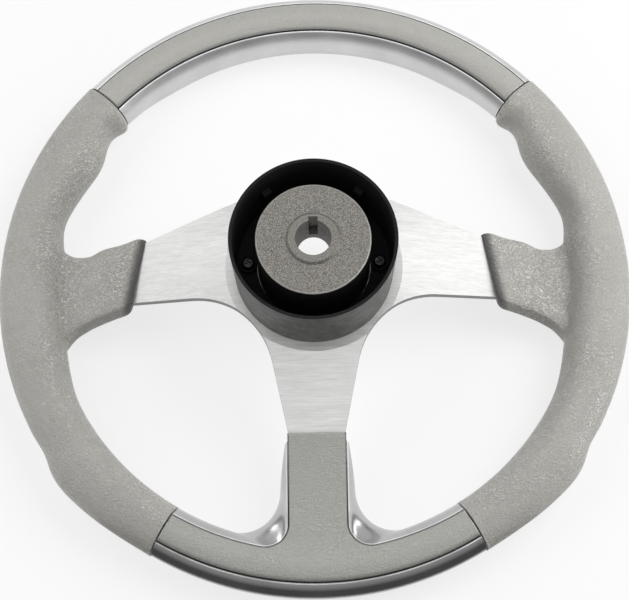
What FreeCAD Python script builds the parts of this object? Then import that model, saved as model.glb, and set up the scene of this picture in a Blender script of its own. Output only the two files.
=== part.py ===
import FreeCAD, Part
import math
import os
import Sketcher
from FreeCAD import Placement, Rotation, Vector

doc = FreeCAD.newDocument("boat_wheel")

# The wheel lies face down. Z runs along the steering axis, from the driver towards the dash.
# Z is zero on the plane that the front of the rim lies on, and the lower spoke points along -Y.
# Lengths are in millimetres and angles in degrees.

# Driving dimensions

SIZES = [
    ("rim_outer_radius", 175.0),
    ("tube_radius", 14.5),
    ("rod_radius", 4.0),
    ("rod_groove_depth", 1.0),
    ("upper_joint_angle", 43.2),
    ("lower_joint_angle", 59.1),
    ("joint_gap", 0.8),
    ("seat_gap", 0.25),
    ("plate_rear_height", 47.0),
    ("plate_thickness", 4.8),
    ("plate_flat_radius", 48.0),
    ("plate_slope_past", 3.0),
    ("plate_end_past", 17.0),
    ("plate_opening_radius", 18.5),
    ("plate_hub_radius", 50.8),
    ("side_spoke_edge_angle", 70.5),
    ("side_spoke_lower_edge", 13.2),
    ("tongue_length", 34.0),
    ("tongue_upper_edge", 12.0),
    ("tongue_lower_edge", 9.5),
    ("window_corner_across", 30.8),
    ("window_corner_down", 16.6),
    ("window_corner_radius", 47.0),
    ("lower_spoke_half_width", 14.2),
    ("hub_radius", 30.3),
    ("hub_face_height", 90.5),
    ("hub_edge_break", 0.6),
    ("boss_radius", 13.7),
    ("boss_rise", 1.5),
    ("boss_edge_break", 0.5),
    ("boss_foot_spread", 0.8),
    ("bore_mouth_radius", 9.525),
    ("bore_taper_run", 24.0),
    ("bore_depth", 23.5),
    ("bore_land", 2.0),
    ("keyway_length", 18.5),
    ("keyway_width", 4.8),
    ("keyway_reach", 11.75),
    ("nut_recess_radius", 17.0),
    ("collar_lip_height", 92.0),
    ("collar_lip_radius", 44.2),
    ("collar_base_radius", 43.0),
    ("collar_wall", 1.7),
    ("collar_floor", 2.5),
    ("collar_hub_gap", 0.4),
    ("collar_boss_radius", 4.6),
    ("collar_boss_rise", 2.2),
    ("lug_angle", 53.0),
    ("lug_height", 70.0),
    ("lug_size", 5.0),
    ("lug_reach", 2.4),
    ("screw_gap", 0.1),
    ("collar_screw_circle", 35.4),
    ("collar_screw_count", 2.0),
    ("collar_screw_shank_radius", 2.0),
    ("collar_screw_head_radius", 3.4),
    ("collar_screw_head_height", 2.3),
    ("hub_screw_circle", 25.0),
    ("hub_screw_count", 6.0),
    ("hub_screw_shank_radius", 3.0),
    ("hub_screw_head_radius", 5.6),
    ("hub_screw_length", 18.0),
    ("hub_screw_end_gap", 1.5),
    ("cover_thickness", 3.0),
    ("cover_outer_angle", 58.0),
    ("cover_inner_angle", 53.0),
    ("cover_edge_round", 0.9),
    ("shell_edge_round", 0.5),
    ("upper_swell", 2.0),
    ("upper_swell_run", 16.0),
    ("stem_length", 56.8),
    ("stem_half_width", 15.7),
    ("stem_corner_radius", 12.2),
    ("stem_rise", 2.0),
    ("stem_overlap", 4.0),
    ("shell_setback", 3.3),
    ("shell_floor", 3.0),
    ("saddle_inset", 9.0),
    ("saddle_drop", 1.4),
    ("saddle_crest_angle", 102.0),
    ("trim_lip", 0.5),
    ("trim_flare", 4.4),
    ("trim_corner_flare", 10.0),
    ("trim_flare_angle", -15.0),
    ("trim_flare_spread", 75.0),
    ("grip_swell", 0.4),
    ("grip_crease_round", 4.0),
    ("thumb_upper_end", 37.4),
    ("thumb_upper_run", 6.4),
    ("thumb_lower_end", 13.5),
    ("thumb_lower_run", 17.0),
    ("thumb_reach", 5.0),
    ("palm_upper_end", 16.0),
    ("palm_upper_run", 10.0),
    ("palm_lower_end", 29.0),
    ("palm_lower_run", 19.0),
    ("palm_reach", 4.5),
    ("heel_start", 33.5),
    ("heel_peak", 37.5),
    ("heel_end", 58.0),
    ("heel_reach", 3.6),
    ("wing_reach", 49.5),
    ("wing_overlap", 5.5),
    ("wing_shear", 0.2),
    ("wing_rear_skin", 2.7),
    ("wing_front_skin", 5.2),
    ("wing_side_skin", 3.2),
    ("wing_edge_run", 6.0),
    ("wing_lower_draft", 3.0),
    ("wing_lower_flare", 26.0),
    ("wing_upper_flare", 21.0),
    ("wing_squareness", 6.0),
    ("crease_part", 0.81),
]

# Sizes that follow from the driving ones

FOLLOWING = [
    ("tube_circle", "=rim_outer_radius - tube_radius"),
    ("tube_inner", "=tube_circle - tube_radius"),
    ("wing_face", "=tube_inner - wing_reach"),
    ("side_spoke_joint", "=wing_face + wing_overlap"),
    ("tongue_start", "=tube_inner - tongue_length"),
    ("stem_end", "=tube_inner - stem_length"),
    ("lower_spoke_joint", "=stem_end + stem_overlap"),
    ("stem_root", "=stem_end - stem_overlap"),
    ("shell_end", "=stem_end + shell_setback"),
    ("plate_slope_end_radius", "=tube_inner + plate_slope_past"),
    ("plate_end_radius", "=tube_inner + plate_end_past"),
    ("rod_seat_height", "=tube_radius - rod_radius + rod_groove_depth"),
    ("plate_front_height", "=plate_rear_height - plate_thickness"),
    ("plate_end_front", "=rod_seat_height - plate_thickness"),
    ("hub_break_radius", "=hub_radius - hub_edge_break"),
    ("hub_break_height", "=hub_face_height - hub_edge_break"),
    ("boss_height", "=hub_face_height + boss_rise"),
    ("nut_seat_height", "=boss_height - bore_depth"),
    ("land_height", "=nut_seat_height + bore_land"),
    ("bore_end_radius", "=bore_mouth_radius - (bore_depth - bore_land) / bore_taper_run"),
    ("boss_foot_radius", "=boss_radius + boss_foot_spread"),
    ("boss_break_radius", "=boss_radius - boss_edge_break"),
    ("boss_break_height", "=boss_height - boss_edge_break"),
    ("collar_opening_radius", "=hub_radius + collar_hub_gap"),
    ("collar_floor_height", "=plate_rear_height + collar_floor"),
    ("collar_lip_inner", "=collar_lip_radius - collar_wall"),
    ("collar_base_inner", "=collar_base_radius - collar_wall"),
    ("collar_screw_hole_radius", "=collar_screw_shank_radius + screw_gap"),
    ("hub_screw_hole_radius", "=hub_screw_shank_radius + screw_gap"),
    ("hub_screw_hole_depth", "=hub_screw_length - plate_thickness + hub_screw_end_gap"),
    ("countersink_radius", "=hub_screw_head_radius + screw_gap"),
    ("countersink_depth", "=hub_screw_head_radius - hub_screw_shank_radius"),
]

sheet = doc.addObject("Spreadsheet::Sheet", "sizes")
for row, (alias, content) in enumerate(SIZES + FOLLOWING, start=1):
    sheet.set("A%d" % row, alias)
    sheet.set("B%d" % row, str(content))
    sheet.setAlias("B%d" % row, alias)
doc.recompute()


def size(alias):
    return float(getattr(sheet, alias))


# Helpers for sketches and solids


def new_body(name):
    made = doc.addObject("PartDesign::Body", name)
    made.Label = name
    return made


def own_plane(owner, role):
    return [feature for feature in owner.Origin.OriginFeatures if feature.Role == role][0]


def new_sketch(owner, role, name, height=None):
    """Adds a sketch on one of the body's own planes, lifted to a height that the sheet names."""
    sketch = owner.newObject("Sketcher::SketchObject", name)
    sketch.AttachmentSupport = [(own_plane(owner, role), "")]
    sketch.MapMode = "FlatFace"
    if height:
        sketch.setExpression(".AttachmentOffset.Base.z", "sizes." + height)
    doc.recompute()
    return sketch


def bound_profile(sketch, corners):
    """Draws a closed profile whose corners are pairs of sheet names."""
    points = [Vector(size(across), size(up), 0) for across, up in corners]
    count = len(points)
    for index in range(count):
        sketch.addGeometry(Part.LineSegment(points[index], points[(index + 1) % count]), False)
    for index in range(count):
        sketch.addConstraint(Sketcher.Constraint("Coincident", index, 2, (index + 1) % count, 1))
    for index, (across, up) in enumerate(corners):
        for kind, alias in (("DistanceX", across), ("DistanceY", up)):
            number = sketch.addConstraint(Sketcher.Constraint(kind, -1, 1, index, 1, size(alias)))
            sketch.setExpression("Constraints[%d]" % number, "sizes." + alias)


def bound_circle(sketch, across, radius):
    """Draws a circle on the X axis of the sketch, both of its sizes named by the sheet."""
    circle = Part.Circle(Vector(size(across), 0, 0), Vector(0, 0, 1), size(radius))
    number = sketch.addGeometry(circle, False)
    place = sketch.addConstraint(Sketcher.Constraint("DistanceX", -1, 1, number, 3, size(across)))
    sketch.setExpression("Constraints[%d]" % place, "sizes." + across)
    sketch.addConstraint(Sketcher.Constraint("PointOnObject", number, 3, -1))
    width = sketch.addConstraint(Sketcher.Constraint("Radius", number, size(radius)))
    sketch.setExpression("Constraints[%d]" % width, "sizes." + radius)


def rounded_edges(corners):
    """Turns corners of (x, y, rounding radius) into the edges of a closed outline."""
    edges = []
    count = len(corners)
    starts, ends = [], []
    for index in range(count):
        before, here, after = corners[index - 1], corners[index], corners[(index + 1) % count]
        point = Vector(here[0], here[1], 0)
        back = (Vector(before[0], before[1], 0) - point).normalize()
        ahead = (Vector(after[0], after[1], 0) - point).normalize()
        if here[2] == 0:
            starts.append(point)
            ends.append(point)
            continue
        half = back.getAngle(ahead) / 2
        reach = here[2] / math.tan(half)
        middle = (back + ahead).normalize()
        centre = point + middle * (here[2] / math.sin(half))
        starts.append(point + back * reach)
        ends.append(point + ahead * reach)
        edges.append(Part.Arc(starts[-1], centre - middle * here[2], ends[-1]))
    for index in range(count):
        edges.append(Part.LineSegment(ends[index - 1], starts[index]))
    return edges


def add_outline(sketch, corners):
    for edge in rounded_edges(corners):
        sketch.addGeometry(edge, False)


def revolve(owner, sketch, name):
    feature = owner.newObject("PartDesign::Revolution", name)
    feature.Profile = sketch
    feature.ReferenceAxis = (sketch, ["V_Axis"])
    feature.Angle = 360
    doc.recompute()
    return feature


def pocket(owner, sketch, name, length, upward):
    """Cuts a pocket whose depth the sheet names, up or down from its sketch."""
    feature = owner.newObject("PartDesign::Pocket", name)
    feature.Profile = sketch
    feature.Reversed = upward
    if length:
        feature.setExpression("Length", "sizes." + length)
    else:
        feature.Type = "ThroughAll"
        feature.Midplane = True
    doc.recompute()
    return feature


def closed_spline(points, spacing=None):
    """A smooth closed curve through points. Curves with the same spacing make an even loft."""
    curve = Part.BSplineCurve()
    if spacing is None:
        curve.interpolate(Points=points, PeriodicFlag=True)
    else:
        curve.interpolate(Points=points, PeriodicFlag=True, Parameters=spacing)
    return Part.Wire(curve.toShape())


def spacing_of(outline):
    """Distances along a closed outline up to each of its corners and back to the first."""
    lengths = [math.dist(start, end) for start, end in zip(outline, outline[1:] + outline[:1])]
    return [sum(lengths[:count]) for count in range(len(outline) + 1)]


def polar(radius, angle, height=0.0):
    turned = math.radians(angle)
    return Vector(radius * math.cos(turned), radius * math.sin(turned), height)


def tube_point(angle, inset=0.0):
    """A point on the rim's round section, as radius and height. Angle 0 faces outwards, 90 the dash."""
    turned = math.radians(angle)
    reach = size("tube_radius") - inset
    across, up = reach * math.cos(turned), reach * math.sin(turned)
    return Vector(size("tube_circle") + across, 0, size("tube_radius") + up)


def plate_fall():
    """Slope of the plate's dished part, as a change of height for each millimetre outwards."""
    run = size("plate_slope_end_radius") - size("plate_flat_radius")
    return (size("rod_seat_height") - size("plate_rear_height")) / run


def plate_height(radius, surface):
    """Height of one of the plate's sloping surfaces at a radius."""
    return size(surface) + plate_fall() * (radius - size("plate_flat_radius"))


def smooth(value):
    """Rises evenly from 0 to 1 and stays there on both sides."""
    value = min(max(value, 0.0), 1.0)
    return value * value * (3 - 2 * value)


def solid_feature(name, shape):
    feature = doc.addObject("Part::Feature", name)
    feature.Label = name
    feature.Shape = shape
    feature.Placement = Placement()
    return feature


# Rim rod

rim_rod = doc.addObject("Part::Torus", "rim_rod")
rim_rod.Label = "rim_rod"
rim_rod.setExpression("Radius1", "sizes.tube_circle")
rim_rod.setExpression("Radius2", "sizes.rod_radius")
rim_rod.setExpression("Placement.Base.z", "sizes.tube_radius")
doc.recompute()

# Three-spoke plate: a dished disc with three windows cut out of it

spoke_plate = new_body("spoke_plate")
dish = new_sketch(spoke_plate, "XZ_Plane", "dish_section")
bound_profile(
    dish,
    [
        ("plate_opening_radius", "plate_rear_height"),
        ("plate_opening_radius", "plate_front_height"),
        ("plate_flat_radius", "plate_front_height"),
        ("plate_slope_end_radius", "plate_end_front"),
        ("plate_end_radius", "plate_end_front"),
        ("plate_end_radius", "rod_seat_height"),
        ("plate_slope_end_radius", "rod_seat_height"),
        ("plate_flat_radius", "plate_rear_height"),
    ],
)
revolve(spoke_plate, dish, "dished_disc")


def window_corners(side):
    """One of the two lower windows, on the side given by the sign."""
    past = size("rim_outer_radius")
    tip = size("side_spoke_joint")
    return [
        (side * past, -size("tongue_lower_edge"), 0),
        (side * size("tongue_start"), -size("tongue_lower_edge"), 0),
        (side * tip, -size("side_spoke_lower_edge"), 0),
        (side * size("window_corner_across"), -size("window_corner_down"), size("window_corner_radius")),
        (side * size("lower_spoke_half_width"), -size("lower_spoke_joint"), 0),
        (side * size("lower_spoke_half_width"), -past, 0),
        (side * past, -past, 0),
    ]


windows = new_sketch(spoke_plate, "XY_Plane", "windows")
for side in (1, -1):
    add_outline(windows, window_corners(side))

# The upper window rests on the hub circle between the two slanting spoke edges

edge_angle = size("side_spoke_edge_angle")
touch = polar(size("plate_hub_radius"), edge_angle)
slope = math.tan(math.radians(edge_angle - 90))
joint_height = touch.y + slope * (size("side_spoke_joint") - touch.x)
right_end = Vector(size("side_spoke_joint"), joint_height, 0)
past = size("rim_outer_radius")
tongue_end = Vector(size("tongue_start"), size("tongue_upper_edge"), 0)
loop = [touch, right_end, tongue_end, Vector(past, tongue_end.y, 0), Vector(past, past, 0)]
loop += [Vector(-point.x, point.y, 0) for point in reversed(loop)]
for start, end in zip(loop, loop[1:]):
    windows.addGeometry(Part.LineSegment(start, end), False)
crown = Vector(0, size("plate_hub_radius"), 0)
windows.addGeometry(Part.Arc(loop[-1], crown, loop[0]), False)
doc.recompute()
pocket(spoke_plate, windows, "window_cuts", None, False)

rod_section = new_sketch(spoke_plate, "XZ_Plane", "rod_section")
rod_centre = Vector(size("tube_circle"), size("tube_radius"), 0)
rod_circle = rod_section.addGeometry(Part.Circle(rod_centre, Vector(0, 0, 1), size("rod_radius")), False)
for kind, alias in (("DistanceX", "tube_circle"), ("DistanceY", "tube_radius")):
    number = rod_section.addConstraint(Sketcher.Constraint(kind, -1, 1, rod_circle, 3, size(alias)))
    rod_section.setExpression("Constraints[%d]" % number, "sizes." + alias)
number = rod_section.addConstraint(Sketcher.Constraint("Radius", rod_circle, size("rod_radius")))
rod_section.setExpression("Constraints[%d]" % number, "sizes.rod_radius")
doc.recompute()
rod_groove = spoke_plate.newObject("PartDesign::Groove", "rod_groove")
rod_groove.Profile = rod_section
rod_groove.ReferenceAxis = (rod_section, ["V_Axis"])
rod_groove.Angle = 360
doc.recompute()


def ring_of_holes(owner, label, circle, radius, count, height=None, length=None):
    """Cuts a ring of round holes, right through or upwards from a height for a length."""
    sketch = new_sketch(owner, "XY_Plane", label + "_sketch", height)
    bound_circle(sketch, circle, radius)
    doc.recompute()
    hole = pocket(owner, sketch, label, length, length is not None)
    ring = owner.newObject("PartDesign::PolarPattern", label + "_ring")
    ring.Originals = [hole]
    ring.Axis = (sketch, ["N_Axis"])
    ring.Angle = 360
    ring.setExpression("Occurrences", "sizes." + count)
    owner.Tip = ring
    doc.recompute()


hub_screw_holes = ("hub_screw_circle", "hub_screw_hole_radius", "hub_screw_count")
collar_screw_holes = ("collar_screw_circle", "collar_screw_hole_radius", "collar_screw_count")
ring_of_holes(spoke_plate, "hub_screw_holes", *hub_screw_holes)
ring_of_holes(spoke_plate, "collar_screw_holes", *collar_screw_holes)

countersink = spoke_plate.newObject("PartDesign::SubtractiveCone", "countersink")
countersink.AttachmentSupport = [(own_plane(spoke_plate, "XY_Plane"), "")]
countersink.MapMode = "FlatFace"
countersink.setExpression(".AttachmentOffset.Base.x", "sizes.hub_screw_circle")
countersink.setExpression(".AttachmentOffset.Base.z", "sizes.plate_front_height")
countersink.setExpression("Radius1", "sizes.countersink_radius")
countersink.setExpression("Radius2", "sizes.hub_screw_hole_radius")
countersink.setExpression("Height", "sizes.countersink_depth")
doc.recompute()
countersink_ring = spoke_plate.newObject("PartDesign::PolarPattern", "countersink_ring")
countersink_ring.Originals = [countersink]
countersink_ring.Axis = (dish, ["V_Axis"])
countersink_ring.Angle = 360
countersink_ring.setExpression("Occurrences", "sizes.hub_screw_count")
spoke_plate.Tip = countersink_ring
doc.recompute()

# Hub: a cast column with a tapered and keyed bore, open underneath for the shaft nut

hub_body = new_body("hub_body")
hub_section = new_sketch(hub_body, "XZ_Plane", "hub_section")
bound_profile(
    hub_section,
    [
        ("nut_recess_radius", "plate_rear_height"),
        ("hub_radius", "plate_rear_height"),
        ("hub_radius", "hub_break_height"),
        ("hub_break_radius", "hub_face_height"),
        ("boss_foot_radius", "hub_face_height"),
        ("boss_radius", "boss_break_height"),
        ("boss_break_radius", "boss_height"),
        ("bore_mouth_radius", "boss_height"),
        ("bore_end_radius", "land_height"),
        ("bore_end_radius", "nut_seat_height"),
        ("nut_recess_radius", "nut_seat_height"),
    ],
)
revolve(hub_body, hub_section, "hub_column")

keyway = new_sketch(hub_body, "XY_Plane", "keyway", "boss_height")
half_key = size("keyway_width") / 2
reach = size("keyway_reach")
add_outline(keyway, [(-half_key, 0, 0), (half_key, 0, 0), (half_key, reach, 0), (-half_key, reach, 0)])
doc.recompute()
pocket(hub_body, keyway, "keyway_cut", "keyway_length", False)
ring_of_holes(hub_body, "tapped_holes", *hub_screw_holes, "plate_rear_height", "hub_screw_hole_depth")

# Collar: a drafted ring with a floor round the hub, two screw bosses and two lugs on its wall

collar = new_body("collar")
collar_section = new_sketch(collar, "XZ_Plane", "collar_section")
bound_profile(
    collar_section,
    [
        ("collar_opening_radius", "plate_rear_height"),
        ("collar_base_radius", "plate_rear_height"),
        ("collar_lip_radius", "collar_lip_height"),
        ("collar_lip_inner", "collar_lip_height"),
        ("collar_base_inner", "collar_floor_height"),
        ("collar_opening_radius", "collar_floor_height"),
    ],
)
revolve(collar, collar_section, "collar_ring")

collar_screw_count = round(size("collar_screw_count"))
bosses = new_sketch(collar, "XY_Plane", "bosses", "collar_floor_height")
for index in range(collar_screw_count):
    centre = polar(size("collar_screw_circle"), 360 * index / collar_screw_count)
    bosses.addGeometry(Part.Circle(centre, Vector(0, 0, 1), size("collar_boss_radius")), False)
doc.recompute()
boss_pads = collar.newObject("PartDesign::Pad", "boss_pads")
boss_pads.Profile = bosses
boss_pads.setExpression("Length", "sizes.collar_boss_rise")
doc.recompute()

lugs = new_sketch(collar, "XY_Plane", "lugs", "lug_height")
inner = size("collar_base_inner") - size("lug_reach")
outer = size("collar_base_inner") + size("collar_wall") / 2
half = size("lug_size") / 2
lug_outline = [(inner, -half), (outer, -half), (outer, half), (inner, half)]
for angle in (size("lug_angle"), 180 - size("lug_angle")):
    turn = Rotation(Vector(0, 0, 1), angle)
    corners = [turn.multVec(Vector(along, across, 0)) for along, across in lug_outline]
    add_outline(lugs, [(point.x, point.y, 0) for point in corners])
doc.recompute()
lug_pads = collar.newObject("PartDesign::Pad", "lug_pads")
lug_pads.Profile = lugs
lug_pads.setExpression("Length", "sizes.lug_size")
doc.recompute()
ring_of_holes(collar, "collar_holes", *collar_screw_holes)

# Screws


def turned(profile):
    """Turns a closed profile of (radius, height) corners about the Z axis."""
    points = [Vector(radius, 0, height) for radius, height in profile]
    face = Part.Face(Part.makePolygon(points + points[:1]))
    return face.revolve(Vector(0, 0, 0), Vector(0, 0, 1), 360)


def ring_of(screw, circle, height, count):
    """Stands copies of a screw on a circle about the steering axis."""
    copies = []
    for index in range(count):
        copy = screw.copy()
        copy.translate(Vector(circle, 0, height))
        copy.rotate(Vector(0, 0, 0), Vector(0, 0, 1), 360.0 * index / count)
        copies.append(copy)
    return Part.makeCompound(copies)


def pan_head_screw():
    """Pan head on top of its shank, with a cross recess. The underside of the head is at height zero."""
    head, shank = size("collar_screw_head_radius"), size("collar_screw_shank_radius")
    rise = size("collar_screw_head_height")
    edge_height, crown = rise * 0.4, head * 0.72
    length = size("collar_boss_rise") + size("collar_floor") + size("plate_thickness")
    screw = turned(
        [(0, -length), (shank, -length), (shank, 0), (head, 0), (head, edge_height), (crown, rise), (0, rise)]
    )
    slot_length, slot_width, slot_depth = head * 1.05, head * 0.24, rise * 0.6
    corner = Vector(-slot_length / 2, -slot_width / 2, rise - slot_depth)
    first_turn = 20
    for turn in (first_turn, first_turn + 90):
        slot = Part.makeBox(slot_length, slot_width, slot_depth, corner)
        slot.rotate(Vector(0, 0, 0), Vector(0, 0, 1), turn)
        screw = screw.cut(slot)
    return screw


def countersunk_screw():
    """Flat head at the bottom, flush with the plate's front, with a hexagonal recess."""
    head, shank = size("hub_screw_head_radius"), size("hub_screw_shank_radius")
    length = size("hub_screw_length")
    screw = turned([(0, 0), (head, 0), (shank, head - shank), (shank, length), (0, length)])
    recess_radius = shank * 0.75
    corners = [polar(recess_radius, 60 * index) for index in range(7)]
    recess = Part.Face(Part.makePolygon(corners)).extrude(Vector(0, 0, shank))
    return screw.cut(recess)


boss_top = size("collar_floor_height") + size("collar_boss_rise")
collar_screw_ring = ring_of(pan_head_screw(), size("collar_screw_circle"), boss_top, collar_screw_count)
solid_feature("collar_screws", collar_screw_ring)
hub_screw_count = round(size("hub_screw_count"))
hub_screw_seat = size("plate_front_height")
hub_screw_ring = ring_of(countersunk_screw(), size("hub_screw_circle"), hub_screw_seat, hub_screw_count)
solid_feature("hub_screws", hub_screw_ring)


# Upper rim section: a front shell round the rod and a grained cover let into its rear

cover_from = size("cover_outer_angle")
cover_to = 180 - size("cover_inner_angle")
past_joint = 1.0


def cover_corners(gap):
    """The cover's four section corners, kept clear of the shell's step by a gap at each side."""
    outer, inner = tube_point(cover_from), tube_point(cover_to)
    along = (inner - outer).normalize()
    down = Vector(along.z, 0, -along.x) * -1
    if down.z > 0:
        down = down * -1
    depth = down * size("cover_thickness")
    return outer + along * gap, inner - along * gap, inner - along * gap + depth, outer + along * gap + depth


def cover_face(gap):
    """The cover's section, with the round top that carries on the rim's own curve."""
    outer, inner, inner_foot, outer_foot = cover_corners(gap)
    crest = tube_point((cover_from + cover_to) / 2)
    edges = [
        Part.Arc(outer, crest, inner).toShape(),
        Part.LineSegment(inner, inner_foot).toShape(),
        Part.LineSegment(inner_foot, outer_foot).toShape(),
        Part.LineSegment(outer_foot, outer).toShape(),
    ]
    return Part.Face(Part.Wire(edges))


def seat_face():
    """Section of the cut that the cover lies in, open well past the rim's outside."""
    outer, inner, inner_foot, outer_foot = cover_corners(0)
    rise = (outer - outer_foot) * 2
    return Part.Face(Part.makePolygon([outer_foot, inner_foot, inner + rise, outer + rise, outer_foot]))


def swept(face, start, end):
    """Turns a section about the steering axis from one angle to another."""
    section = face.copy()
    section.rotate(Vector(0, 0, 0), Vector(0, 0, 1), start)
    return section.revolve(Vector(0, 0, 0), Vector(0, 0, 1), end - start)


def rounded_rim(solid, radius, test):
    return solid.makeFillet(radius, [edge for edge in solid.Edges if test(edge)])


def gap_angle(gap):
    return math.degrees(gap / size("tube_circle"))


upper_start = size("upper_joint_angle") + gap_angle(size("joint_gap"))
upper_end = 180 - upper_start

# Angles round the inner front of the upper section, each with its share of the swell there

SWELL_SHARES = [(180, 0.3), (202, 0.85), (225, 1.0), (248, 0.2), (270, 0.0)]


def upper_section(angle):
    """Section of the upper part at an angle. Its inner front fills out away from the joints."""
    run = min(angle - upper_start, upper_end - angle) / size("upper_swell_run")
    swell = size("upper_swell") * smooth(run)
    points = [tube_point(degrees) for degrees in range(-60, 180, 30)]
    points += [tube_point(degrees, -swell * share) for degrees, share in SWELL_SHARES]
    section = closed_spline(points)
    section.rotate(Vector(0, 0, 0), Vector(0, 0, 1), angle)
    return section


def spread(start, end, steps):
    """Evenly spaced values from the start to the end."""
    return [start + (end - start) * index / steps for index in range(steps + 1)]


upper_sections = [upper_section(angle) for angle in spread(upper_start, upper_end, 18)]
upper_tube = Part.makeLoft(upper_sections, True, False)
upper_seat = swept(seat_face(), upper_start - past_joint, upper_end + past_joint)
upper_cover = swept(cover_face(size("seat_gap")), upper_start, upper_end)


def edge_middle(edge):
    return edge.valueAt((edge.FirstParameter + edge.LastParameter) / 2)


def outside_rim(edge):
    """Whether an edge lies on the round outside of the rim."""
    middle = edge_middle(edge)
    across = math.hypot(middle.x, middle.y) - size("tube_circle")
    away = math.hypot(across, middle.z - size("tube_radius")) - size("tube_radius")
    return abs(away) < size("seat_gap") / 2


def seat_lip(edge):
    """Whether an edge is one of the two long ones where the shell's outside meets its step."""
    foot_height = tube_point(cover_to, size("cover_thickness") / 2).z
    return edge.Length > size("tube_circle") / 2 and edge_middle(edge).z > foot_height


upper_shell = rounded_rim(upper_tube.cut(upper_seat), size("shell_edge_round"), seat_lip)
solid_feature("upper_front_shell", upper_shell.cut(rim_rod.Shape))
solid_feature("upper_rear_cover", rounded_rim(upper_cover, size("cover_edge_round"), outside_rim))

# Lower rim section: a shell that also carries the lower spoke, and its T-shaped rear cover

lower_start = -180 + size("lower_joint_angle") + gap_angle(size("joint_gap"))
lower_end = -180 - lower_start


def rear_curve(drop):
    """The rear of the lower section, from the spoke out to the rim's crest."""
    root = size("stem_root")
    start = Vector(root, 0, plate_height(root, "plate_rear_height") + size("stem_rise") - drop)
    saddle_height = tube_point(90).z - size("saddle_drop") - drop
    saddle = Vector(size("tube_inner") - size("saddle_inset"), 0, saddle_height)
    crest = tube_point(size("saddle_crest_angle")) - Vector(0, 0, drop)
    crest_turn = math.radians(size("saddle_crest_angle"))
    curve = Part.BSplineCurve()
    curve.interpolate(
        Points=[start, saddle, crest],
        InitialTangent=Vector(1, 0, plate_fall()),
        FinalTangent=Vector(math.sin(crest_turn), 0, -math.cos(crest_turn)),
    )
    return curve.toShape()


def lower_section():
    """Section of shell and cover together, from the spoke's underside round the rim."""
    flat_start, flat_end = (
        Vector(radius, 0, plate_height(radius, "plate_front_height") - size("shell_floor"))
        for radius in (size("stem_root"), size("tube_inner"))
    )
    crest = tube_point(size("saddle_crest_angle"))
    rear = rear_curve(0)
    under = Part.BSplineCurve()
    under.interpolate(
        Points=[tube_point(-90), flat_end],
        InitialTangent=Vector(-1, 0, 0),
        FinalTangent=Vector(-1, 0, -plate_fall()),
    )
    edges = [
        rear,
        Part.Arc(crest, tube_point(0), tube_point(-90)).toShape(),
        under.toShape(),
        Part.LineSegment(flat_end, flat_start).toShape(),
        Part.LineSegment(flat_start, rear.Vertexes[0].Point).toShape(),
    ]
    return Part.Face(Part.Wire(Part.__sortEdges__(edges)))


def lower_cover_section(gap):
    """Section of the lower cover's seat, held back from the shell's outer step by a gap."""
    outer, _, _, outer_foot = cover_corners(0)
    rear, foot = rear_curve(0), rear_curve(size("cover_thickness"))
    crest_angle = size("saddle_crest_angle")
    edges = [
        rear,
        Part.Arc(tube_point(crest_angle), tube_point((crest_angle + cover_from) / 2), outer).toShape(),
        Part.LineSegment(outer, outer_foot).toShape(),
        Part.LineSegment(outer_foot, foot.Vertexes[-1].Point).toShape(),
        foot,
        Part.LineSegment(foot.Vertexes[0].Point, rear.Vertexes[0].Point).toShape(),
    ]
    face = Part.Face(Part.Wire(Part.__sortEdges__(edges)))
    if gap == 0:
        return face
    past = (outer_foot - outer).normalize()
    back = Vector(past.z, 0, -past.x) * gap
    top, bottom = outer - past, outer_foot + past
    strip = Part.makePolygon([top - back, top + back, bottom + back, bottom - back, top - back])
    return face.cut(Part.Face(strip))


def tee_outline(height, half_width, corner, inner, end, side_angle):
    """An inverted T: a stem on the lower spoke that runs through round corners into the rim."""
    outer = size("rim_outer_radius") + size("joint_gap")
    centre_x = half_width + corner
    centre = Vector(centre_x, -math.sqrt((inner - corner) ** 2 - centre_x**2), 0)
    stem_top = Vector(half_width, -end, 0)
    stem_foot = Vector(half_width, centre.y, 0)
    rim_start = centre * (inner / centre.Length)
    bend = centre + (stem_foot + rim_start - centre * 2).normalize() * corner
    joint_inner, joint_outer = polar(inner, side_angle), polar(outer, side_angle)
    span = math.degrees(math.atan2(rim_start.y, rim_start.x))
    rim_middle = polar(inner, (span + side_angle) / 2)

    def mirrored(point):
        return Vector(-point.x, point.y, 0)

    edges = [Part.LineSegment(mirrored(stem_top), stem_top).toShape()]
    right = [
        Part.LineSegment(stem_top, stem_foot).toShape(),
        Part.Arc(stem_foot, bend, rim_start).toShape(),
        Part.Arc(rim_start, rim_middle, joint_inner).toShape(),
        Part.LineSegment(joint_inner, joint_outer).toShape(),
    ]
    left = [
        Part.LineSegment(mirrored(joint_outer), mirrored(joint_inner)).toShape(),
        Part.Arc(mirrored(joint_inner), mirrored(rim_middle), mirrored(rim_start)).toShape(),
        Part.Arc(mirrored(rim_start), mirrored(bend), mirrored(stem_foot)).toShape(),
        Part.LineSegment(mirrored(stem_foot), mirrored(stem_top)).toShape(),
    ]
    bottom = Part.Arc(joint_outer, Vector(0, -outer, 0), mirrored(joint_outer)).toShape()
    wire = Part.Wire(edges + right + [bottom] + left)
    wire.translate(Vector(0, 0, height))
    return wire


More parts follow.
